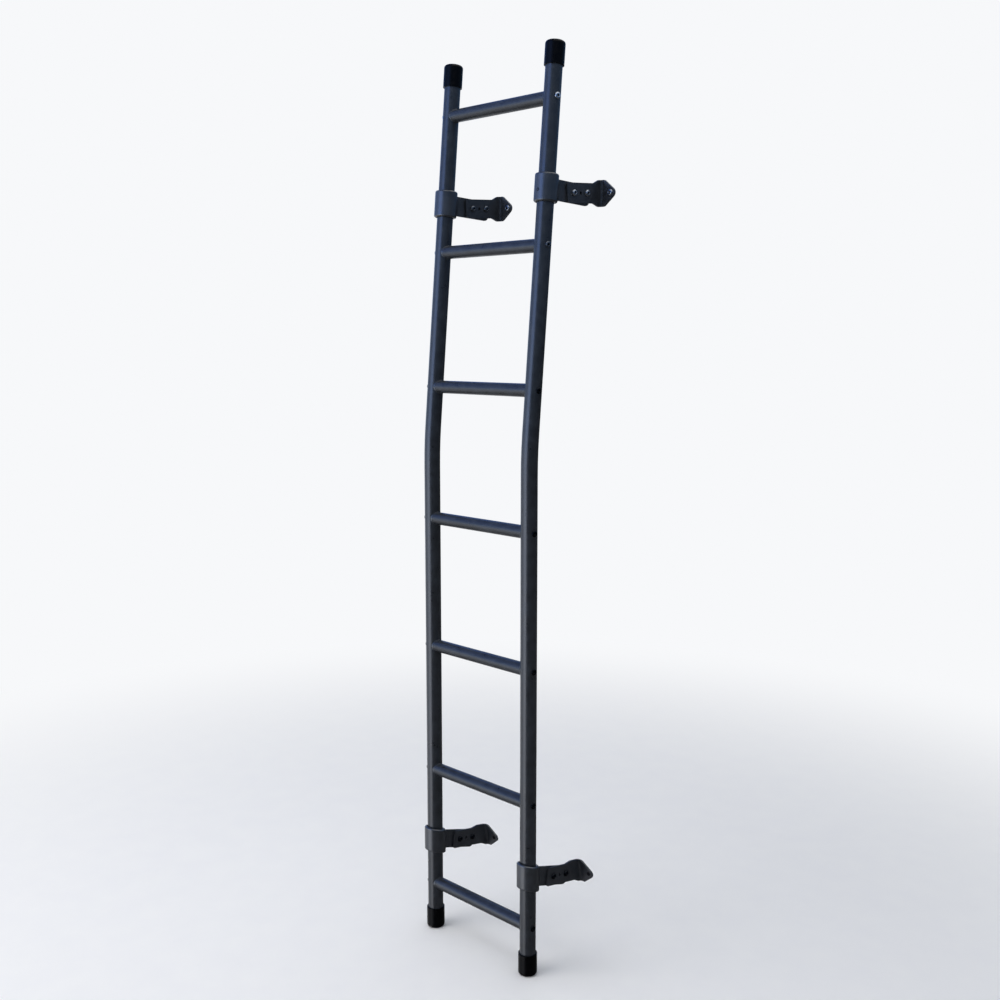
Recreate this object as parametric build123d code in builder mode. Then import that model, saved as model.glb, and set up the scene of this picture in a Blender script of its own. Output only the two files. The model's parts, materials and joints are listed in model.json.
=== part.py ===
"""Fixed ladder: two bent round rails, seven round rungs and four mounting brackets.

+X runs along the rungs to the right seen from behind, +Y points to the mounting side, +Z is up.
The origin is on the flat mounting face of the lower right foot.
"""
import os
from math import cos, radians, sin, tan

from build123d import *

os.makedirs("parts", exist_ok=True)

# Side rails: round tube, bent once toward the mounting side
rail_diameter = 36.0
rail_wall = 1.5
rail_spacing = 305.0  # between the rails' centres
upper_lean = 5.0  # degrees toward the mounting side
bend_radius = 1000.0
rail_over_top_rung = 108.0
rail_under_bottom_rung = 108.0

# Rungs: round tube, cut to the rails' curve
rung_diameter = 28.6
rung_wall = 1.5
rung_count = 7
rung_pitch = 300.0
bottom_rung_pitch = 284.0  # the lowest gap is a little shorter
top_rung_above_bend = 734.0
rung_bolt_hole = 8.5

# Moulded caps on the rail ends
cap_length = 49.0
cap_wall = 2.9
cap_end = 4.0
cap_edge = 6.5
cap_clearance = 0.2

# Collars around the rails
collar_height = 58.0
collar_wall = 6.8
collar_edge = 3.5
collar_mouth = 2.5  # chamfer at both ends of the bore
collar_clearance = 0.2
upper_collar_below_top_rung = 186.0
lower_collar_above_bottom_rung = 119.5
left_collar_drop = 9.0  # the left brackets are clamped a little lower
upper_collar_rise = 2.0  # collar's middle above its strap's line
lower_collar_rise = -4.0
upper_collar_slant = 0.0  # degrees of the ends off square, minus is downward to the mounting side

# Straps from the collars toward the mounting side
plate_thickness = 4.0
strap_offset = 14.0  # outer side from the rail's centre
strap_height = 43.0
strap_length = 121.0  # from the rail's centre
strap_end_corner = 12.0
strap_bolt_run = 67.0  # first bolt, along the strap from the rail's centre
upper_strap_tilt = -2.5  # degrees, minus is downward
lower_strap_tilt = -16.5

# Feet: plates bolted over the straps, bent outward to pointed pads
foot_reach = 158.0  # rail's centre to the mounting face
foot_turn = 6.5  # degrees that the plate rises against its strap
upper_pad_lean = 0.0  # degrees that the pad's top leans off the mounting side
lower_pad_lean = 11.0
foot_lead = 21.0  # plate's end behind the first bolt
foot_arm_height = 42.0
foot_arm_corner = 8.0
foot_pad_height = 56.0
foot_pad_corner = 11.0
foot_flare = 17.0  # length over which the plate widens to the pad's height
foot_shoulder = 3.0  # full height before the bend
lower_top_shoulder = 21.0  # the same along the top edge of the lower feet
foot_shoulder_corner = 8.0
foot_bend = 5.0  # inner bend radius
foot_hole_out = 30.0  # hole's centre from the strap's outer side
foot_tip = 11.0  # tip radius around the hole
foot_hole = 8.5
strap_bolt_hole = 8.5
strap_bolt_spacing = 42.0
middle_hole = 7.0

# Places along the rails, measured up from the bend
rung_places = [top_rung_above_bend - rung_pitch * step for step in range(rung_count - 1)]
rung_places.append(rung_places[-1] - bottom_rung_pitch)
rail_top = rung_places[0] + rail_over_top_rung
rail_bottom = rung_places[-1] - rail_under_bottom_rung
upper_collar_place = rung_places[0] - upper_collar_below_top_rung
lower_collar_place = rung_places[-1] + lower_collar_above_bottom_rung
upper_foot_tilt = upper_strap_tilt + foot_turn
lower_foot_tilt = lower_strap_tilt + foot_turn
lower_collar_slant = lower_strap_tilt  # cut in line with the strap
collar_bore = rail_diameter + 2 * collar_clearance
collar_diameter = collar_bore + 2 * collar_wall
bend_setback = plate_thickness + foot_bend  # start of a foot's bend, behind its mounting face


def bolt_place(collar_y, collar_z, strap_tilt):
    run = radians(strap_tilt)
    return collar_y + strap_bolt_run * cos(run), collar_z + strap_bolt_run * sin(run)


def foot_drop(strap_tilt, foot_tilt):
    bolt_y, bolt_z = bolt_place(0, 0, strap_tilt)
    return bolt_z + (foot_reach - bolt_y) * tan(radians(foot_tilt))


rail_y = -foot_reach
bend_z = -lower_collar_place - foot_drop(lower_strap_tilt, lower_foot_tilt)
right_rail_x = -strap_offset - foot_hole_out / 2
left_rail_x = right_rail_x - rail_spacing
rail_x = {"left": left_rail_x, "right": right_rail_x}


def rail_plane(x, above_bend):
    lean = radians(upper_lean) if above_bend > 0 else 0.0
    along = (0, sin(lean), cos(lean))
    origin = (x, rail_y + above_bend * along[1], bend_z + above_bend * along[2])
    return Plane(origin=origin, x_dir=(1, 0, 0), z_dir=along)


# Rails
for side, x in rail_x.items():
    low_end = rail_plane(x, rail_bottom)
    top_end = rail_plane(x, rail_top)
    with BuildPart() as rail:
        with BuildLine() as route:
            FilletPolyline(low_end.origin, (x, rail_y, bend_z), top_end.origin, radius=bend_radius)
        with BuildSketch(low_end) as tube:
            Circle(rail_diameter / 2)
            Circle(rail_diameter / 2 - rail_wall, mode=Mode.SUBTRACT)
        sweep(path=route.wire())
        with BuildSketch(Plane.YZ.offset(x)) as bolt_holes:
            for place in rung_places:
                center = rail_plane(x, place).origin
                with Locations((center.Y, center.Z)):
                    Circle(rung_bolt_hole / 2)
        extrude(amount=rail_diameter, both=True, mode=Mode.SUBTRACT)
    rail.part.label = f"{side}_rail"
    export_step(rail.part, f"parts/{side}_rail.step")

# Rungs
for number, place in enumerate(rung_places, start=1):
    center = rail_plane(left_rail_x, place).origin
    with BuildPart() as rung:
        with BuildSketch(Plane.YZ.offset(left_rail_x)) as tube:
            with Locations((center.Y, center.Z)):
                Circle(rung_diameter / 2)
                Circle(rung_diameter / 2 - rung_wall, mode=Mode.SUBTRACT)
        extrude(amount=rail_spacing)
        with BuildSketch(rail_plane(left_rail_x, place), rail_plane(right_rail_x, place)) as saddles:
            Circle(rail_diameter / 2)
        extrude(amount=rung_diameter, both=True, mode=Mode.SUBTRACT)
    rung.part.label = f"rung_{number}"
    export_step(rung.part, f"parts/rung_{number}.step")

# End caps
cap_bore = rail_diameter / 2 + cap_clearance
for side, x in rail_x.items():
    for level, end, outward in (("top", rail_top, 1), ("bottom", rail_bottom, -1)):
        end_plane = rail_plane(x, end)
        with BuildPart() as cap:
            with BuildSketch(end_plane) as body:
                Circle(cap_bore + cap_wall)
            extrude(amount=outward * cap_end)
            extrude(body.sketch, amount=outward * (cap_end - cap_length))
            closed_face = cap.faces().sort_by(Axis((0, 0, 0), end_plane.z_dir * outward))[-1]
            fillet(closed_face.edges(), cap_edge)
            with BuildSketch(end_plane) as bore:
                Circle(cap_bore)
            extrude(amount=-outward * cap_length, mode=Mode.SUBTRACT)
        cap.part.label = f"{side}_{level}_cap"
        export_step(cap.part, f"parts/{side}_{level}_cap.step")

# Brackets
levels = {
    "upper": (upper_collar_place, upper_strap_tilt, upper_foot_tilt, upper_pad_lean, foot_shoulder),
    "lower": (lower_collar_place, lower_strap_tilt, lower_foot_tilt, lower_pad_lean, lower_top_shoulder),
}
collar_forms = {
    "upper": (upper_collar_rise, upper_collar_slant),
    "lower": (lower_collar_rise, lower_collar_slant),
}
collar_drop = {"left": left_collar_drop, "right": 0.0}
for level, (collar_place, strap_tilt, foot_tilt, pad_lean, top_shoulder) in levels.items():
    collar_rise, collar_slant = collar_forms[level]
    turn = radians(foot_tilt - pad_lean)
    pad_out = (0, cos(radians(pad_lean)), sin(radians(pad_lean)))
    bend_run = (0, -pad_out[2], pad_out[1])
    for side, x in rail_x.items():
        strap_place = collar_place - collar_drop[side]
        strap_start = rail_plane(x, strap_place)
        collar_plane = rail_plane(x, strap_place + collar_rise)
        end_plane = collar_plane.rotated((collar_slant, 0, 0))

        with BuildPart() as collar:
            with BuildSketch(collar_plane) as ring:
                Circle(collar_diameter / 2)
                Circle(collar_bore / 2, mode=Mode.SUBTRACT)
            extrude(amount=collar_height + collar_diameter, both=True)
            with BuildSketch(end_plane) as between_ends:
                Circle(collar_height + collar_diameter)
            extrude(amount=collar_height / 2 * cos(radians(collar_slant)), both=True, mode=Mode.INTERSECT)
            ends = collar.faces().filter_by(GeomType.PLANE).sort_by(Axis((0, 0, 0), end_plane.z_dir))
            rims = [ends[0].outer_wire().edge(), ends[-1].outer_wire().edge()]
            mouths = [ends[0].inner_wires().edge(), ends[-1].inner_wires().edge()]
            fillet(rims, collar_edge)
            chamfer(mouths, collar_mouth)
        collar.part.label = f"{level}_{side}_collar"
        export_step(collar.part, f"parts/{level}_{side}_collar.step")

        strap_run = (0, cos(radians(strap_tilt)), sin(radians(strap_tilt)))
        start_y = strap_start.origin.Y
        start_z = strap_start.origin.Z
        strap_origin = (x + strap_offset - plate_thickness, start_y, start_z)
        strap_plane = Plane(origin=strap_origin, x_dir=strap_run, z_dir=(1, 0, 0))
        foot_run = (0, cos(radians(foot_tilt)), sin(radians(foot_tilt)))
        bolt_y, bolt_z = bolt_place(start_y, start_z, strap_tilt)
        foot_plane = Plane(origin=(x + strap_offset, bolt_y, bolt_z), x_dir=foot_run, z_dir=(1, 0, 0))
        face_y = start_y + foot_reach
        face_z = start_z + foot_drop(strap_tilt, foot_tilt)
        face_plane = Plane(origin=(0, face_y, face_z), x_dir=(1, 0, 0), z_dir=pad_out)
        bend_plane = Plane(origin=(0, face_y, face_z), x_dir=(1, 0, 0), z_dir=bend_run)

        with BuildPart() as strap:
            with BuildSketch(strap_plane) as outline:
                Rectangle(strap_length, strap_height, align=(Align.MIN, Align.CENTER))
                fillet(outline.vertices().group_by(Axis.X)[-1], strap_end_corner)
            extrude(amount=plate_thickness)
            with BuildSketch(strap_start) as seat:
                Circle(collar_diameter / 2)
            extrude(amount=strap_length, both=True, mode=Mode.SUBTRACT)
            with BuildSketch(foot_plane) as holes:
                with Locations((0, 0), (strap_bolt_spacing, 0)):
                    Circle(strap_bolt_hole / 2)
            extrude(amount=-plate_thickness, mode=Mode.SUBTRACT)
        strap.part.label = f"{level}_{side}_strap"
        export_step(strap.part, f"parts/{level}_{side}_strap.step")

        inner = x + strap_offset
        outer = inner + plate_thickness
        bend_x = outer + foot_bend
        hole_x = inner + foot_hole_out
        pad_end = hole_x + 2 * foot_tip
        pad_half = foot_pad_height / 2
        corner_rise = pad_half - foot_pad_corner
        arm_half = foot_arm_height / 2
        bend_lead = bend_setback / cos(turn)  # along the arm, from the bend's start to the mounting face
        bend_middle = Vector(inner, face_y, face_z) - Vector(foot_run) * bend_lead
        arm_length = foot_lead + (bend_middle.Y - bolt_y) / cos(radians(foot_tilt))
        arm_plane = Plane(origin=bend_middle, x_dir=foot_run, z_dir=(1, 0, 0))
        end_x = pad_half * sin(turn)
        end_y = pad_half * cos(turn)
        past_face = 2 * bend_lead
        side_points = [
            (-end_x - foot_shoulder - foot_flare, -arm_half),
            (-end_x - foot_shoulder, -end_y),
            (-end_x + past_face, -end_y),
            (end_x + past_face, end_y),
            (end_x - top_shoulder, end_y),
            (end_x - top_shoulder - foot_flare, arm_half),
        ]
        with BuildPart() as foot:
            with BuildSketch(bend_plane) as bent_plate:
                with BuildLine():
                    Polyline(
                        (inner, -bend_setback),
                        (inner, -foot_reach),
                        (outer, -foot_reach),
                        (outer, -bend_setback),
                    )
                    RadiusArc((outer, -bend_setback), (bend_x, -plate_thickness), foot_bend)
                    Polyline(
                        (bend_x, -plate_thickness),
                        (pad_end, -plate_thickness),
                        (pad_end, 0),
                        (bend_x, 0),
                    )
                    RadiusArc((bend_x, 0), (inner, -bend_setback), -bend_setback)
                make_face()
            extrude(amount=foot_reach, both=True)
            with BuildSketch(arm_plane) as side_outline:
                with BuildSketch(mode=Mode.PRIVATE) as head:
                    Polygon(side_points, align=None)
                    shoulders = [head.vertices().sort_by_distance(side_points[i])[0] for i in (1, 4)]
                    fillet(shoulders, foot_shoulder_corner)
                add(head.sketch)
                with Locations((-arm_length, 0)):
                    start_in = (Align.MIN, Align.CENTER)
                    RectangleRounded(arm_length, foot_arm_height, foot_arm_corner, align=start_in)
            extrude(amount=foot_reach, both=True, mode=Mode.INTERSECT)
            with BuildSketch(face_plane) as pad_outline:
                with Locations((inner, 0)):
                    Rectangle(bend_x - inner, foot_reach, align=(Align.MIN, Align.CENTER))
                with BuildSketch(mode=Mode.PRIVATE) as pad:
                    with Locations((bend_x, corner_rise), (bend_x, -corner_rise)):
                        Circle(foot_pad_corner)
                    with Locations((hole_x, 0)):
                        Circle(foot_tip)
                    make_hull()
                add(pad.sketch)
            extrude(amount=2 * foot_reach, both=True, mode=Mode.INTERSECT)
            with BuildSketch(foot_plane) as holes:
                with Locations((0, 0), (strap_bolt_spacing, 0)):
                    Circle(strap_bolt_hole / 2)
                with Locations((strap_bolt_spacing / 2, 0)):
                    Circle(middle_hole / 2)
            extrude(amount=plate_thickness, mode=Mode.SUBTRACT)
            with BuildSketch(face_plane) as mount_hole:
                with Locations((hole_x, 0)):
                    Circle(foot_hole / 2)
            extrude(amount=-plate_thickness, mode=Mode.SUBTRACT)
        foot.part.label = f"{level}_{side}_foot"
        export_step(foot.part, f"parts/{level}_{side}_foot.step")
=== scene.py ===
import json
from math import asin, cos, pi, radians, sin, sqrt

import bmesh
import bpy
from mathutils import Matrix, Vector


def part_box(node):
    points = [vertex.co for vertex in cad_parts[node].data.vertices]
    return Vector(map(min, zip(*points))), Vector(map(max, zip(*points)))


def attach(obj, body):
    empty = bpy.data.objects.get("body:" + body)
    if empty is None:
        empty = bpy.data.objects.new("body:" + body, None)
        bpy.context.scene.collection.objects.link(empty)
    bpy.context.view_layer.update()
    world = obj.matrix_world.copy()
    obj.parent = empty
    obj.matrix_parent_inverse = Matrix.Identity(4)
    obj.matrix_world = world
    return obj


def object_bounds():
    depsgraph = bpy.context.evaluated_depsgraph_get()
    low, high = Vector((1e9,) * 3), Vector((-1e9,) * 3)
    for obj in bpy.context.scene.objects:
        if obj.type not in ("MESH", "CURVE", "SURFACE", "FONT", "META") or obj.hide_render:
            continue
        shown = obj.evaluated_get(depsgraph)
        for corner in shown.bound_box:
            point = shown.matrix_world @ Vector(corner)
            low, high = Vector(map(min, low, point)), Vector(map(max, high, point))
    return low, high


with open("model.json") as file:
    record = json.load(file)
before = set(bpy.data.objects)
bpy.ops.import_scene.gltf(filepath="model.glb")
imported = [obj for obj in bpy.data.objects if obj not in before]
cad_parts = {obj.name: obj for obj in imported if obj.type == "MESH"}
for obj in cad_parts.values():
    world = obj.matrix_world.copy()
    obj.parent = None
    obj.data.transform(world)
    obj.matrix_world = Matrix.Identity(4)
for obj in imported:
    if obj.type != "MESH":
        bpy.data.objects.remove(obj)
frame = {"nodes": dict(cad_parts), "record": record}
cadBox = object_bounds()
nodes = frame["nodes"]
scene = bpy.context.scene
print("frame loaded:", len(nodes), "nodes")

ladder = {
    "railRadius": 0.018,
    "rungRadius": 0.0143,
    "collarRadius": 0.025,
    "lean": radians(5.0),  # rails above the bend
    "leaningRungs": (1, 2, 3),
    "rungs": range(1, 8),
    "bottomRung": 7,
    "outward": {"left": -1, "right": 1},  # side of a rail that faces away from the rungs
    "levels": ("upper", "lower"),
}


def boxCentre(node):
    low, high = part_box(node)
    return (low + high) / 2


railX = {side: boxCentre(side + "_rail").x for side in ladder["outward"]}
rungCentre = {number: boxCentre(f"rung_{number}") for number in ladder["rungs"]}
mountFace = {mount["name"]: mount for mount in frame["record"]["mounts"]}


def leanOf(number):
    return ladder["lean"] if number in ladder["leaningRungs"] else 0.0


def rungEnd(side, number):
    return Vector((railX[side], rungCentre[number].y, rungCentre[number].z))


def linear(hexColour):
    channels = [int(hexColour[i:i + 2], 16) / 255 for i in (1, 3, 5)]
    return tuple(c / 12.92 if c <= 0.04045 else ((c + 0.055) / 1.055) ** 2.4 for c in channels) + (1.0,)


def addNode(tree, kind, settings=None, links=None):
    node = tree.nodes.new(kind)
    for name, value in (settings or {}).items():
        if isinstance(name, str) and hasattr(node, name):
            setattr(node, name, value)
        else:
            node.inputs[name].default_value = value
    for name, source in (links or {}).items():
        tree.links.new(source, node.inputs[name])
    return node


def perMetre(millimetres):
    return 1000.0 / millimetres  # texture scale for features of that size


def newMaterial(name):
    material = bpy.data.materials.new(name)
    material.use_nodes = True
    tree = material.node_tree
    place = addNode(tree, "ShaderNodeTexCoord").outputs["Object"]
    return material, tree, tree.nodes["Principled BSDF"], place


def setRamp(ramp, low, high):
    for element, (position, colour) in zip(ramp.color_ramp.elements, (low, high)):
        element.position = position
        element.color = linear(colour)


sheenSpread = {"From Min": 0.3, "From Max": 0.7}  # part of the cloud pattern that changes the gloss


# one cloud pattern changes both the colour and the gloss
def cloudedSurface(tree, shader, place, look):
    cloud = addNode(tree, "ShaderNodeTexNoise",
                    {"Scale": perMetre(look["cloudMm"]), "Detail": look["cloudDetail"]}, {"Vector": place})
    base = addNode(tree, "ShaderNodeValToRGB", None, {"Fac": cloud.outputs["Fac"]})
    setRamp(base, (look["cloudFrom"], look["dark"]), (look["cloudTo"], look["light"]))
    sheen = addNode(tree, "ShaderNodeMapRange",
                    {**sheenSpread, "To Min": look["smooth"], "To Max": look["rough"]},
                    {"Value": cloud.outputs["Fac"]})
    tree.links.new(sheen.outputs["Result"], shader.inputs["Roughness"])
    return base.outputs["Color"]


def bumpedSurface(tree, shader, place, look):
    dimple = addNode(tree, "ShaderNodeTexNoise",
                     {"Scale": perMetre(look["bumpMm"]), "Detail": look["bumpDetail"]}, {"Vector": place})
    bump = addNode(tree, "ShaderNodeBump",
                   {"Strength": look["bumpStrength"], "Distance": look["bumpDepth"]},
                   {"Height": dimple.outputs["Fac"]})
    tree.links.new(bump.outputs["Normal"], shader.inputs["Normal"])


# powder coat on steel, sprayed dry and baked: satin graphite with soft broad highlights,
# a faint cloudiness, sparse pale specks of dust and a shallow orange peel
def powderCoat(name, look):
    material, tree, shader, place = newMaterial(name)
    base = cloudedSurface(tree, shader, place, look)
    speck = addNode(tree, "ShaderNodeTexNoise",
                    {"Scale": perMetre(look["speckMm"]), "Detail": look["speckDetail"]}, {"Vector": place})
    dust = addNode(tree, "ShaderNodeMapRange",
                   {"From Min": look["speckFrom"], "From Max": look["speckTo"],
                    "To Max": look["speckShare"]},
                   {"Value": speck.outputs["Fac"]})
    # a colour mix goes by number: 0 is the share, 6 and 7 the colours, 2 the result
    colour = addNode(tree, "ShaderNodeMix", {"data_type": "RGBA", 7: linear(look["speck"])},
                     {0: dust.outputs["Result"], 6: base})
    tree.links.new(colour.outputs[2], shader.inputs["Base Color"])
    bumpedSurface(tree, shader, place, look)
    shader.inputs["Specular IOR Level"].default_value = look["specular"]
    return material


tubeLook = {
    "dark": "#1f2227",
    "light": "#272b31",
    "cloudMm": 18.0,
    "cloudDetail": 4.0,
    "cloudFrom": 0.35,
    "cloudTo": 0.70,
    "smooth": 0.27,
    "rough": 0.36,
    "speck": "#50555d",
    "speckMm": 1.6,  # real dust is finer, drawn coarser so that it shows
    "speckDetail": 1.0,
    "speckFrom": 0.66,
    "speckTo": 0.78,
    "speckShare": 0.35,
    "bumpMm": 2.4,  # real peel is about 1 mm, drawn coarser so that it shows
    "bumpDetail": 2.0,
    "bumpStrength": 0.08,
    "bumpDepth": 0.0005,
    "specular": 0.5,
}
plateLook = dict(tubeLook, dark="#22252a", light="#2b2e33", smooth=0.36, rough=0.48,
                 bumpMm=1.8, specular=0.45)
collarLook = dict(tubeLook, smooth=0.30, rough=0.40, bumpMm=2.0, specular=0.8)
tubeCoat = powderCoat("powder_coated_steel_tube", tubeLook)  # the smoothest, with a crisp edge to the light
plateCoat = powderCoat("powder_coated_steel_plate", plateLook)  # duller, over rolled plate
collarCoat = powderCoat("powder_coated_turned_steel", collarLook)  # a stronger gloss, over turned steel


# vinyl, hot dipped over the tube end: deep black, soft gloss that gathers into small pale glints
def dippedVinyl(name, look):
    material, tree, shader, place = newMaterial(name)
    base = cloudedSurface(tree, shader, place, look)
    tree.links.new(base, shader.inputs["Base Color"])
    bumpedSurface(tree, shader, place, look)
    shader.inputs["IOR"].default_value = look["ior"]
    shader.inputs["Specular IOR Level"].default_value = look["specular"]
    return material


vinylLook = {
    "dark": "#020203",
    "light": "#050506",
    "cloudMm": 9.0,
    "cloudDetail": 4.0,
    "cloudFrom": 0.35,
    "cloudTo": 0.70,
    "smooth": 0.26,
    "rough": 0.40,
    "bumpMm": 2.5,
    "bumpDetail": 3.0,
    "bumpStrength": 0.10,
    "bumpDepth": 0.0005,
    "ior": 1.53,
    "specular": 0.08,
}
capVinyl = dippedVinyl("dipped_vinyl", vinylLook)


# steel screws, plated or blackened in a bath: metal with a faint cloud in colour and gloss
def bathedSteel(name, look):
    material, tree, shader, place = newMaterial(name)
    base = cloudedSurface(tree, shader, place, look)
    tree.links.new(base, shader.inputs["Base Color"])
    shader.inputs["Metallic"].default_value = look["metallic"]
    return material


zincLook = {
    "dark": "#9a9ea3",
    "light": "#c9ccd0",
    "cloudMm": 2.0,
    "cloudDetail": 6.0,
    "cloudFrom": 0.30,
    "cloudTo": 0.70,
    "smooth": 0.24,
    "rough": 0.40,
    "metallic": 1.0,
}
# the dark oxide also lines every screw socket, whatever the head's finish: painted shade deepening the
# recess
oxideAndShadeLook = dict(zincLook, dark="#16171a", light="#242629", smooth=0.34, rough=0.50)
phosphateLook = dict(zincLook, dark="#7d8186", light="#9a9ea3", cloudMm=1.6, smooth=0.34, rough=0.46)
dullLook = dict(phosphateLook, dark="#4c4f54", light="#686c71")
zincSteel = bathedSteel("zinc_plated_steel", zincLook)  # bright, cloudy silver
oxideSteelAndShade = bathedSteel("black_oxide_steel_and_shade", oxideAndShadeLook)  # dark with an oily sheen
phosphateSteel = bathedSteel("zinc_phosphated_steel", phosphateLook)  # mid grey, softly shining crystals
dullSteel = bathedSteel("manganese_phosphated_steel", dullLook)  # the same in a dull dark grey

# by the last word of a node's name, and the rest are tubes
finishOf = {"cap": capVinyl, "strap": plateCoat, "foot": plateCoat, "collar": collarCoat}
for name, node in nodes.items():
    kind = name.split("_")[-1]
    node.data.materials.clear()
    node.data.materials.append(finishOf.get(kind, tubeCoat))
print("materials set on", len(nodes), "nodes")


def addPiece(name, mesh, materials):
    bmesh.ops.recalc_face_normals(mesh, faces=mesh.faces)
    data = bpy.data.meshes.new(name)
    mesh.to_mesh(data)
    mesh.free()
    for material in materials:
        data.materials.append(material)
    piece = bpy.data.objects.new(name, data)
    scene.collection.objects.link(piece)
    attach(piece, "root")


def bridgeRings(mesh, rings, materialIndex=0):
    count = len(rings[0])
    for lower, upper in zip(rings, rings[1:]):
        for i in range(count):
            j = (i + 1) % count
            face = mesh.faces.new((lower[i], lower[j], upper[j], upper[i]))
            face.smooth = True
            face.material_index = materialIndex


def turnedRing(mesh, place, radius, height, around, flat=None):
    ring = []
    for step in range(around):
        angle = 2 * pi * step / around
        reach = radius
        if flat:
            reach = min(radius, flat / cos((angle % (pi / 3)) - pi / 6))  # hexagon, cut by the circle
        ring.append(mesh.verts.new(place @ Vector((reach * cos(angle), reach * sin(angle), height))))
    return ring


def facing(origin, outward):
    zAxis = Vector(outward).normalized()
    xAxis = Vector((0, 0, 1)).cross(zAxis).normalized()
    yAxis = zAxis.cross(xAxis)
    turn = Matrix((xAxis, yAxis, zAxis)).transposed().to_4x4()
    return Matrix.Translation(origin) @ turn


# button head screws with a hexagon socket
buttonHead = {
    "around": 48,
    "radius": 0.0068,
    "height": 0.0030,
    "rim": 0.0008,
    "skirt": 0.0016,  # sinks the rim into a curved seat
    "topRadius": 0.0037,
    "domeSteps": 6,
    "socketFlat": 0.0025,  # half the width across flats
    "socketDepth": 0.0026,
    "socketEdge": 0.0003,
}


def addButtonHead(mesh, place, size):
    around, top, flat, edge = size["around"], size["height"], size["socketFlat"], size["socketEdge"]
    rings = [turnedRing(mesh, place, size["radius"], -size["skirt"], around)]
    for step in range(size["domeSteps"] + 1):
        swing = step / size["domeSteps"] * pi / 2
        reach = size["topRadius"] + (size["radius"] - size["topRadius"]) * cos(swing)
        rings.append(turnedRing(mesh, place, reach, size["rim"] + (top - size["rim"]) * sin(swing), around))
    corner = 2 * flat  # wider than the hexagon's corners
    rings.append(turnedRing(mesh, place, corner, top, around, flat + edge))
    rings.append(turnedRing(mesh, place, corner, top - edge, around, flat))
    rings.append(turnedRing(mesh, place, corner, top - size["socketDepth"], around, flat))
    bridgeRings(mesh, rings[:-1])
    # the socket's walls and floor take the second material, dark oxide: painted shade in the recess
    bridgeRings(mesh, rings[-2:], materialIndex=1)
    mesh.faces.new(rings[-1]).material_index = 1
    mesh.faces.new(rings[0])


rungScrew = {
    "finish": {1: zincSteel, 2: dullSteel},  # by rung, blackened below these
    "turn": radians(8.0),  # to the back of the rail
    "head": dict(buttonHead, height=0.0022),
}
for side, out in ladder["outward"].items():
    for number in ladder["rungs"]:
        lean = leanOf(number)
        back = Vector((0, -cos(lean), sin(lean)))
        outward = Vector((out * cos(rungScrew["turn"]), 0, 0)) + back * sin(rungScrew["turn"])
        seat = rungEnd(side, number) + outward * ladder["railRadius"]
        finish = rungScrew["finish"].get(number, oxideSteelAndShade)
        mesh = bmesh.new()
        addButtonHead(mesh, facing(seat, outward), rungScrew["head"])
        addPiece(f"rung_screw_{side}_{number}", mesh, (finish, oxideSteelAndShade))
print("rung screws placed")


# welds: a strip from one toe to the other over the seam, closed along the root
weldBead = {"section": 9, "crown": 0.0002, "bury": 0.0003, "rippleMm": 3.0, "ripple": 0.00006}


def addWeld(mesh, stations, size, closed):
    rings = []
    travel = 0.0
    for index, (root, toeA, toeB, outward) in enumerate(stations):
        if index:
            travel += (root - stations[index - 1][0]).length * 1000  # in mm
        ripple = size["ripple"] * sin(2 * pi * travel / size["rippleMm"])
        ring = [mesh.verts.new(root - outward * size["bury"])]
        for step in range(size["section"]):
            share = step / (size["section"] - 1)
            swell = 4 * share * (1 - share)
            lift = swell * (size["crown"] + ripple) - (1 - swell) * size["bury"]
            ring.append(mesh.verts.new(toeA.lerp(toeB, share) + outward * lift))
        rings.append(ring)
    bridgeRings(mesh, rings + rings[:1] if closed else rings)
    if not closed:
        mesh.faces.new(rings[0])
        mesh.faces.new(rings[-1])


def onRail(centre, offset, inward, across):
    aside = offset.dot(across)
    depth = sqrt(max(ladder["railRadius"] ** 2 - aside ** 2, 0.0))
    return centre + offset + inward * depth, (inward * depth + across * aside).normalized()


rungWeld = {"throat": 0.0011, "toe": 0.0015, "around": 144}
for number in ladder["rungs"]:
    lean = leanOf(number)
    along = Vector((0, sin(lean), cos(lean)))
    across = Vector((0, cos(lean), -sin(lean)))
    mesh = bmesh.new()
    for side, out in ladder["outward"].items():
        centre = rungEnd(side, number)
        inward = Vector((-out, 0, 0))
        stations = []
        for step in range(rungWeld["around"]):
            angle = 2 * pi * step / rungWeld["around"]
            outRung = across * cos(angle) + along * sin(angle)
            root, outRail = onRail(centre, outRung * ladder["rungRadius"], inward, across)
            half = outRung.angle(outRail) / 2
            toeRung = root + inward * rungWeld["throat"] / sin(half)
            toeRail = onRail(centre, outRung * (ladder["rungRadius"] + rungWeld["toe"]), inward, across)[0]
            stations.append((root, toeRung, toeRail, (outRung + outRail).normalized()))
        addWeld(mesh, stations, weldBead, closed=True)
    addPiece(f"rung_weld_{number}", mesh, (tubeCoat,))
print("rung welds placed")


# bracket hardware, from the same sizes as the plates
bracket = {
    "strapOuter": 0.014,  # strap's outer side from the rail's centre
    "plate": 0.004,
    "boltRun": 0.067,  # first bolt from the rail's centre, along the strap
    "boltSpacing": 0.042,
    "strapTilt": {"upper": radians(-2.5), "lower": radians(-16.5)},
    "footTurn": radians(6.5),  # foot against strap
    "holeOut": 0.044,  # pad's hole from the rail's centre
    "strapHeight": 0.043,
    "collarRise": {"upper": 0.002, "lower": -0.004},  # collar's middle above the strap's line
    "strapScrew": {"upper_right": phosphateSteel, "upper_left": dullSteel},  # the others are blackened
    # upper pads get real screws; the lower pads' dark discs are painted shade in their open holes
    "padScrewOrHoleShade": {"upper": phosphateSteel, "lower": oxideSteelAndShade},
}
hexNut = {
    "around": 60,
    "flat": 0.0065,  # half the width across flats
    "face": 0.00663,  # radius of the round faces, just past the flats
    "thick": 0.0065,
    "bore": 0.0040,
    "chamfer": 0.0006,
    "stub": 0.0020,  # screw's end past the nut
}


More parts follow.
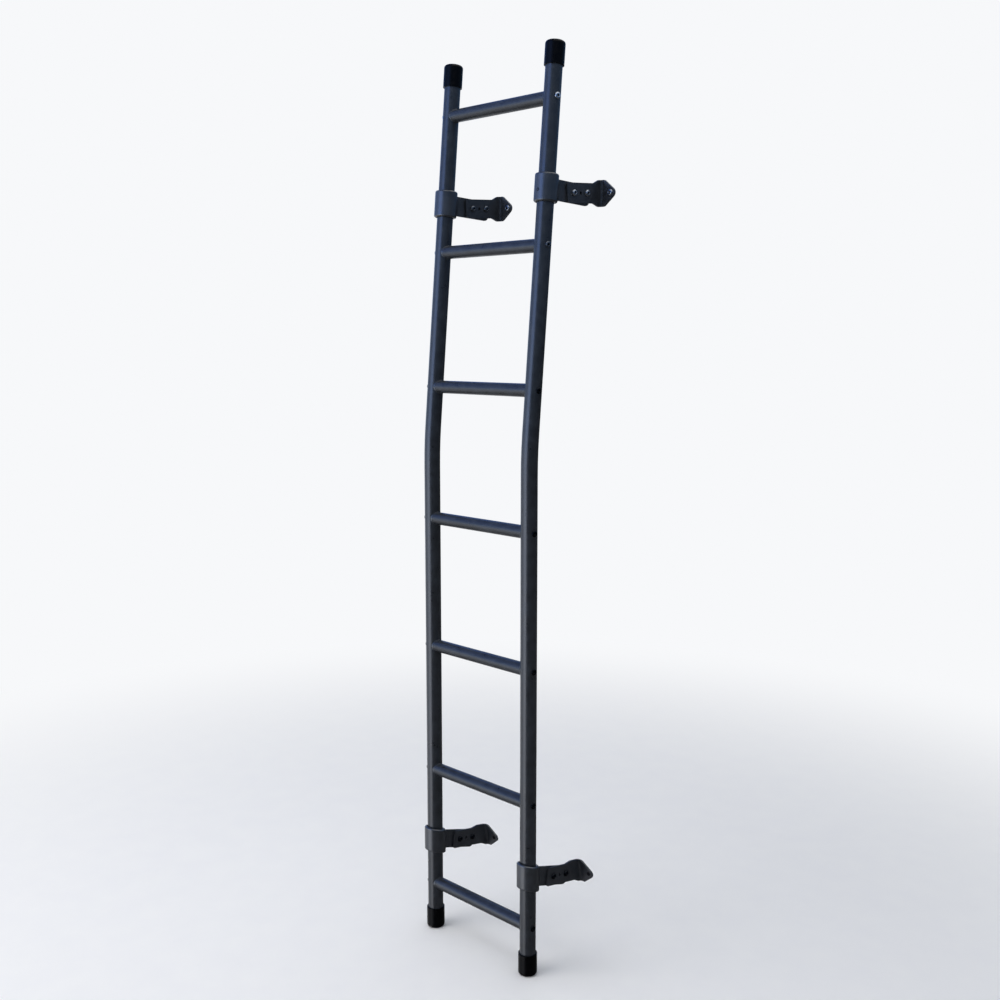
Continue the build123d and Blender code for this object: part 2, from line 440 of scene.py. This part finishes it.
def addNut(mesh, place, size):
    around, flat, face, thick = size["around"], size["flat"], size["face"], size["thick"]
    bore, chamfer, end = size["bore"], size["chamfer"], size["thick"] + size["stub"]
    corner = 2 * flat  # wider than the hexagon's corners
    profile = [
        (face, 0.0, flat),
        (corner, chamfer, flat),
        (corner, thick - chamfer, flat),
        (face, thick, flat),
        (bore + chamfer, thick, None),
        (bore, thick - chamfer, None),
        (bore, end - chamfer, None),
        (bore - chamfer, end, None),
    ]
    rings = [turnedRing(mesh, place, radius, height, around, hexagon)
             for radius, height, hexagon in profile]
    bridgeRings(mesh, rings)
    mesh.faces.new(rings[-1])
    mesh.faces.new(rings[0])


strapWeld = {"throat": 0.0020, "steps": 60, "inset": 0.001}
flatHead = dict(buttonHead, radius=0.0070, height=0.0044, skirt=0.0004)
holeShadeDisc = dict(flatHead, radius=0.0046, rim=0.0003, height=0.0012, topRadius=0.0036,
               socketFlat=0.0020, socketDepth=0.0014)
padHeadOrHoleShade = {"upper": flatHead, "lower": holeShadeDisc}  # low dark discs that fill the lower pads' open holes: painted shade for the dark seen through them
for level in ladder["levels"]:
    strapTilt = bracket["strapTilt"][level]
    strapRun = Vector((0, cos(strapTilt), sin(strapTilt)))
    footTilt = strapTilt + bracket["footTurn"]
    footRun = Vector((0, cos(footTilt), sin(footTilt)))
    lean = ladder["lean"] if level == "upper" else 0.0
    along = Vector((0, sin(lean), cos(lean)))
    across = Vector((0, cos(lean), -sin(lean)))
    for side in ladder["outward"]:
        name = f"{level}_{side}"
        centre = boxCentre(name + "_collar") - along * bracket["collarRise"][level]
        screwFinish = bracket["strapScrew"].get(name, oxideSteelAndShade)
        for number in (1, 2):
            bolt = centre + strapRun * bracket["boltRun"] + footRun * bracket["boltSpacing"] * (number - 1)
            mesh = bmesh.new()
            outer = bolt + Vector((bracket["strapOuter"] + bracket["plate"], 0, 0))
            addButtonHead(mesh, facing(outer, (1, 0, 0)), flatHead)
            addPiece(f"{name}_strap_screw_{number}", mesh, (screwFinish, oxideSteelAndShade))
            mesh = bmesh.new()
            inner = bolt + Vector((bracket["strapOuter"] - bracket["plate"], 0, 0))
            addNut(mesh, facing(inner, (-1, 0, 0)), hexNut)
            addPiece(f"{name}_strap_nut_{number}", mesh, (dullSteel,))

        face = mountFace[name + "_foot_face"]
        out = Vector(face["axis"])
        hole = Vector((railX[side] + bracket["holeOut"], face["pos_m"][1], face["pos_m"][2]))
        mesh = bmesh.new()
        addButtonHead(mesh, facing(hole - out * bracket["plate"], -out), padHeadOrHoleShade[level])
        addPiece(f"{name}_pad_screw_or_hole_shade", mesh, (bracket["padScrewOrHoleShade"][level], oxideSteelAndShade))

        mesh = bmesh.new()
        for edge, outPlate in ((bracket["strapOuter"], 1), (bracket["strapOuter"] - bracket["plate"], -1)):
            stations = []
            half = bracket["strapHeight"] / 2 - strapWeld["inset"]
            reach = sqrt(ladder["collarRadius"] ** 2 - edge ** 2)
            outCollar = (Vector((edge, 0, 0)) + across * reach).normalized()
            outFace = Vector((outPlate, 0, 0))
            opening = outFace.angle(outCollar)
            leg = strapWeld["throat"] / sin(opening / 2)
            swing = asin(edge / ladder["collarRadius"]) + outPlate * leg / ladder["collarRadius"]
            onCollar = Vector((sin(swing), 0, 0)) + across * cos(swing)
            for step in range(strapWeld["steps"]):
                rise = half * (2 * step / (strapWeld["steps"] - 1) - 1)
                middle = centre + along * (rise + reach * sin(strapTilt + lean))
                root = middle + outCollar * ladder["collarRadius"]
                toePlate = root + strapRun * leg
                toeCollar = middle + onCollar * ladder["collarRadius"]
                stations.append((root, toePlate, toeCollar, (outFace + outCollar).normalized()))
            addWeld(mesh, stations, weldBead, closed=False)
        addPiece(f"{name}_strap_weld", mesh, (plateCoat,))
print("bracket hardware placed")


# set screw in the back of one collar
setScrew = {
    "collar": "upper_right_collar",
    "around": 48,
    "radius": 0.0034,
    "chamfer": 0.0004,
    "flat": 0.0018,  # half the socket's width across flats
    "proud": 0.0003,
    "depth": 0.0022,
    "sunk": 0.0033,
    "rise": -0.0064,  # from the collar's middle, along the rail
}
back = Vector((0, -cos(ladder["lean"]), sin(ladder["lean"])))
along = Vector((0, sin(ladder["lean"]), cos(ladder["lean"])))
seat = boxCentre(setScrew["collar"]) + back * ladder["collarRadius"] + along * setScrew["rise"]
socket, around = setScrew["flat"], setScrew["around"]
profile = [
    (setScrew["radius"], -setScrew["sunk"], None),
    (setScrew["radius"], 0.0, None),
    (setScrew["radius"] - setScrew["chamfer"], setScrew["proud"], None),
    (2 * socket, setScrew["proud"], socket),
    (2 * socket, -setScrew["depth"], socket),
]
mesh = bmesh.new()
place = facing(seat, back)
rings = [turnedRing(mesh, place, radius, height, around, hexagon)
         for radius, height, hexagon in profile]
bridgeRings(mesh, rings)
mesh.faces.new(rings[-1])
mesh.faces.new(rings[0])
addPiece("collar_set_screw", mesh, (oxideSteelAndShade,))
print("set screw placed")


# floor: matt painted board, lit near the ladder and fading into the plain background further off
backdrop = {
    "colour": "#f7f8fa",
    "floor": "#f3f3f3",
    "floorShade": "#f1f1f2",
    "grainMm": 80.0,
    "grainDetail": 3.0,
    "grainFrom": 0.3,
    "grainTo": 0.7,
    "rough": 0.9,
    "specular": 0.1,
    "size": 60.0,
    "near": 0.9,  # metres from the foot where the fade begins
    "far": 2.8,
}
foot = Vector((sum(railX.values()) / 2, rungCentre[ladder["bottomRung"]].y, cadBox[0].z))
half = backdrop["size"] / 2
corners = ((-half, -half), (half, -half), (half, half), (-half, half))
mesh = bmesh.new()
mesh.faces.new([mesh.verts.new((x, y, 0)) for x, y in corners])
floorMesh = bpy.data.meshes.new("floor")
mesh.to_mesh(floorMesh)
mesh.free()
floor = bpy.data.objects.new("floor", floorMesh)
floor.location = foot
scene.collection.objects.link(floor)
floor.visible_glossy = False  # the cards below stand in for it
material, tree, shader, place = newMaterial("painted_board")
grain = addNode(tree, "ShaderNodeTexNoise",
                {"Scale": perMetre(backdrop["grainMm"]), "Detail": backdrop["grainDetail"]},
                {"Vector": place})
base = addNode(tree, "ShaderNodeValToRGB", None, {"Fac": grain.outputs["Fac"]})
setRamp(base, (backdrop["grainFrom"], backdrop["floorShade"]), (backdrop["grainTo"], backdrop["floor"]))
tree.links.new(base.outputs["Color"], shader.inputs["Base Color"])
shader.inputs["Roughness"].default_value = backdrop["rough"]
shader.inputs["Specular IOR Level"].default_value = backdrop["specular"]
reach = addNode(tree, "ShaderNodeVectorMath", {"operation": "LENGTH"}, {0: place})
fade = addNode(tree, "ShaderNodeMapRange",
               {"interpolation_type": "SMOOTHSTEP",
                "From Min": backdrop["near"], "From Max": backdrop["far"]},
               {"Value": reach.outputs["Value"]})


def seenDirectly(tree):
    path = addNode(tree, "ShaderNodeLightPath")
    seen = addNode(tree, "ShaderNodeMath", {"operation": "MAXIMUM"},
                   {0: path.outputs["Is Camera Ray"], 1: path.outputs["Is Glossy Ray"]})
    seen = addNode(tree, "ShaderNodeMath", {"operation": "MAXIMUM"},
                   {0: seen.outputs[0], 1: path.outputs["Is Transmission Ray"]})
    return seen.outputs[0]


share = addNode(tree, "ShaderNodeMath", {"operation": "MULTIPLY"},
                {0: fade.outputs["Result"], 1: seenDirectly(tree)})
plain = addNode(tree, "ShaderNodeEmission", {"Color": linear(backdrop["colour"]), "Strength": 1.0})
mix = addNode(tree, "ShaderNodeMixShader", None,
              {0: share.outputs[0], 1: shader.outputs[0], 2: plain.outputs[0]})
tree.links.new(mix.outputs[0], tree.nodes["Material Output"].inputs["Surface"])
floorMesh.materials.append(material)

ambient = {"colour": "#ebeff5", "strength": 0.48}
world = bpy.data.worlds.new("studio")
world.use_nodes = True
scene.world = world
tree = world.node_tree
tree.nodes.clear()
plain = addNode(tree, "ShaderNodeBackground", {"Color": linear(backdrop["colour"]), "Strength": 1.0})
soft = addNode(tree, "ShaderNodeBackground",
               {"Color": linear(ambient["colour"]), "Strength": ambient["strength"]})
mix = addNode(tree, "ShaderNodeMixShader", None,
              {0: seenDirectly(tree), 1: soft.outputs[0], 2: plain.outputs[0]})
addNode(tree, "ShaderNodeOutputWorld", None, {"Surface": mix.outputs[0]})

# two glowing panels that only the gloss mirrors, painting the reflections: a bright one at the back and
# left, a dark one at the right whose white top paints small highlights
# turn is degrees from +X, grade runs with the sine of the height angle,
# and sides are the levels at the back and at the left
cards = {
    "lit_card": {
        "turn": (135, 277),
        "strength": 3.6,
        "grade": (
            (-0.80, "#858486"), (-0.58, "#aeaeb1"), (-0.42, "#f4f6fb"), (-0.10, "#dbe6fb"),
            (0.02, "#c6ddff"), (0.17, "#97bcff"), (0.34, "#76a0f8"), (0.67, "#4f79d2"), (0.87, "#385c99"),
        ),
        "sides": (1.22, 0.30),
    },
    "dark_card": {
        "turn": (-83, 135),
        "strength": 2.0,
        "grade": (
            (-0.80, "#3e3e3f"), (-0.20, "#3d3e3f"), (-0.05, "#0f1011"), (0.06, "#111820"),
            (0.20, "#415f85"), (0.55, "#456489"), (0.72, "#ffffff"), (1.00, "#ffffff"),
        ),
        "sides": (1.0, 1.0),
    },
}
tent = {"radius": 14.0, "centre": 1.0, "rise": (-80, 80), "steps": 40, "sideFrom": -0.97, "sideTo": -0.66}


def stepAngle(ends, step):
    return radians(ends[0] + (ends[1] - ends[0]) * step / tent["steps"])


for name, card in cards.items():
    mesh = bmesh.new()
    rows = []
    for step in range(tent["steps"] + 1):
        rise = stepAngle(tent["rise"], step)
        row = []
        for turnStep in range(tent["steps"] + 1):
            turn = stepAngle(card["turn"], turnStep)
            ray = Vector((cos(rise) * cos(turn), cos(rise) * sin(turn), sin(rise)))
            row.append(mesh.verts.new(ray * tent["radius"]))
        rows.append(row)
    for low, high in zip(rows, rows[1:]):
        for i in range(tent["steps"]):
            mesh.faces.new((low[i], low[i + 1], high[i + 1], high[i]))
    cardMesh = bpy.data.meshes.new(name)
    mesh.to_mesh(cardMesh)
    mesh.free()
    panel = bpy.data.objects.new(name, cardMesh)
    panel.location = foot + Vector((0, 0, tent["centre"]))
    scene.collection.objects.link(panel)
    panel.visible_camera = panel.visible_diffuse = panel.visible_shadow = panel.visible_transmission = False
    # a glowing panel, no lamp: painted reflections, a smooth glow that changes with height
    material, tree, shader, place = newMaterial("painted_reflection_glow_" + name)
    tree.nodes.remove(shader)
    split = addNode(tree, "ShaderNodeSeparateXYZ", None, {0: place})
    share = addNode(tree, "ShaderNodeMapRange", {"From Min": -tent["radius"], "From Max": tent["radius"]},
                    {"Value": split.outputs["Z"]})
    ramp = addNode(tree, "ShaderNodeValToRGB", None, {"Fac": share.outputs["Result"]})
    stops = ramp.color_ramp.elements
    while len(stops) < len(card["grade"]):
        stops.new(0.5)  # gets its place below
    for stop, (sine, colour) in zip(stops, card["grade"]):
        stop.position = (sine + 1) / 2
        stop.color = linear(colour)
    side = addNode(tree, "ShaderNodeMapRange", {
        "From Min": tent["sideFrom"] * tent["radius"],
        "From Max": tent["sideTo"] * tent["radius"],
        "To Min": card["sides"][0] * card["strength"],
        "To Max": card["sides"][1] * card["strength"],
    }, {"Value": split.outputs["Y"]})
    glow = addNode(tree, "ShaderNodeEmission", None,
                   {"Color": ramp.outputs["Color"], "Strength": side.outputs["Result"]})
    tree.links.new(glow.outputs[0], tree.nodes["Material Output"].inputs["Surface"])
    cardMesh.materials.append(material)


# soft lamps: place is metres from the ladder's foot, level is the panel's brightness against white
lamps = {
    "key": {"place": (-1.5, -3.4, 2.0), "size": (3.0, 3.0), "level": 2.8, "colour": "#fffaf3"},
    "top": {"place": (-0.6, -0.5, 4.6), "size": (3.5, 3.5), "level": 2.3, "colour": "#f1f5ff"},
}
highestAim = 1.6  # metres above the foot
for name, lamp in lamps.items():
    light = bpy.data.lights.new(name, "AREA")
    light.shape = "RECTANGLE"
    light.size, light.size_y = lamp["size"]
    light.energy = lamp["level"] * pi * lamp["size"][0] * lamp["size"][1]
    light.color = linear(lamp["colour"])[:3]
    holder = bpy.data.objects.new(name, light)
    holder.location = foot + Vector(lamp["place"])
    aim = foot + Vector((0, 0, min(lamp["place"][2], highestAim)))
    holder.rotation_euler = (aim - holder.location).to_track_quat("-Z", "Y").to_euler()
    holder.visible_camera = holder.visible_glossy = False  # the cards are what the gloss mirrors
    scene.collection.objects.link(holder)

view = {"place": (1.6228, -1.9075, 1.2023), "yaw": 44.82, "pitch": -7.86, "lens": 41.48, "sensor": 36.0}
cameraData = bpy.data.cameras.new("camera")
cameraData.lens = view["lens"]
cameraData.sensor_width = view["sensor"]
camera = bpy.data.objects.new("camera", cameraData)
camera.location = view["place"]
camera.rotation_euler = (radians(90 + view["pitch"]), 0, radians(view["yaw"]))
scene.collection.objects.link(camera)
scene.camera = camera
scene.view_settings.view_transform = "Standard"
print("stage, lamps and camera set")
